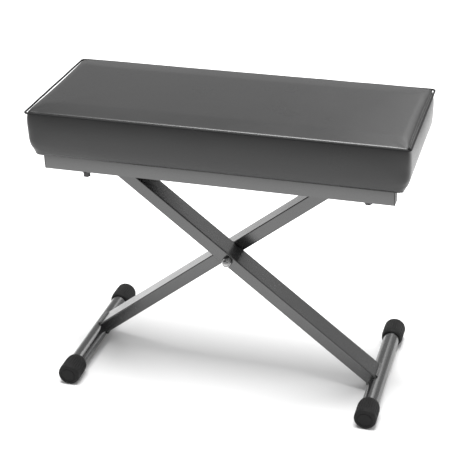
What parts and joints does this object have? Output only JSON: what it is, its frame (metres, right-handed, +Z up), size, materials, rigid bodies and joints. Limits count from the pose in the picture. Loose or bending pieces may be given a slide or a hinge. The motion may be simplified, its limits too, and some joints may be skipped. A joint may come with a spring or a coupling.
{
  "type": "folding scissor bench",
  "caption": "Low upholstered bench on a folding scissor frame of two crossed tubes with rubber-capped foot bars and a notched height rack.",
  "frame": {"origin": "on the floor, under the middle of the seat and midway between the foot bars", "axes": "+Z up, X along the seat's length, -Y towards the sitter's side; the front leg falls from the upper left to the lower right"},
  "size_m": [0.5744, 0.278, 0.4632],
  "materials": {
    "leatherette": "satin fine-grained artificial leather",
    "piping": "satin cord cover",
    "foam": "open-cell foam",
    "plywood": "raw plywood",
    "non_woven": "matt non-woven",
    "black_steel": "semi-gloss black powder coat",
    "black_fastener": "black oxide",
    "zinc": "bright zinc plate",
    "rubber": "matt moulded rubber",
    "plastic": "matt black moulding",
    "nylon": "natural nylon"
  },
  "bodies": {
    "front_leg_frame": {"front_leg": "black_steel", "front_leg_crossbar": "black_steel", "front_leg_top_plug": "plastic", "front_leg_sleeve": "nylon", "front_leg_welds": "black_steel", "right_foot_bar": "black_steel", "right_front_foot_cap": "rubber", "right_rear_foot_cap": "rubber", "pivot_bolt": "zinc", "pivot_nut": "zinc", "pivot_washers": "zinc", "leg_spacer": "nylon"},
    "rear_leg_frame": {"rear_leg": "black_steel", "rear_leg_crossbar": "black_steel", "rear_leg_top_plug": "plastic", "rear_leg_sleeve": "nylon", "rear_leg_welds": "black_steel", "left_foot_bar": "black_steel", "left_front_foot_cap": "rubber", "left_rear_foot_cap": "rubber"},
    "seat": {"seat_top_panel": "leatherette", "seat_band": "leatherette", "seat_piping": "piping", "seat_foam": "foam", "seat_board": "plywood", "dust_cover": "non_woven", "cover_staples": "zinc", "front_rail": "black_steel", "rear_rail": "black_steel", "front_rail_left_plug": "plastic", "front_rail_right_plug": "plastic", "rear_rail_left_plug": "plastic", "rear_rail_right_plug": "plastic", "left_strap": "black_steel", "right_strap": "black_steel", "front_pivot_bracket": "black_steel", "rear_pivot_bracket": "black_steel", "front_height_rack": "black_steel", "rear_height_rack": "black_steel", "rail_bolts": "black_fastener", "rail_washers": "black_fastener", "tee_nuts": "zinc"}
  },
  "joints": [
    {"name": "scissor", "type": "hinge", "parent": "front_leg_frame", "child": "rear_leg_frame", "pos_m": [0, 0, 0.20674], "axis": [0, -1, 0], "range_deg": [-67, 35.5]},
    {"name": "seat", "type": "hinge", "parent": "front_leg_frame", "child": "seat", "pos_m": [-0.20575, 0, 0.36895], "axis": [0, -1, 0], "range_deg": [-34, 18]}
  ],
  "couplings": [
    {"joint": "seat", "follows": "scissor", "ratio": 0.5}
  ]
}
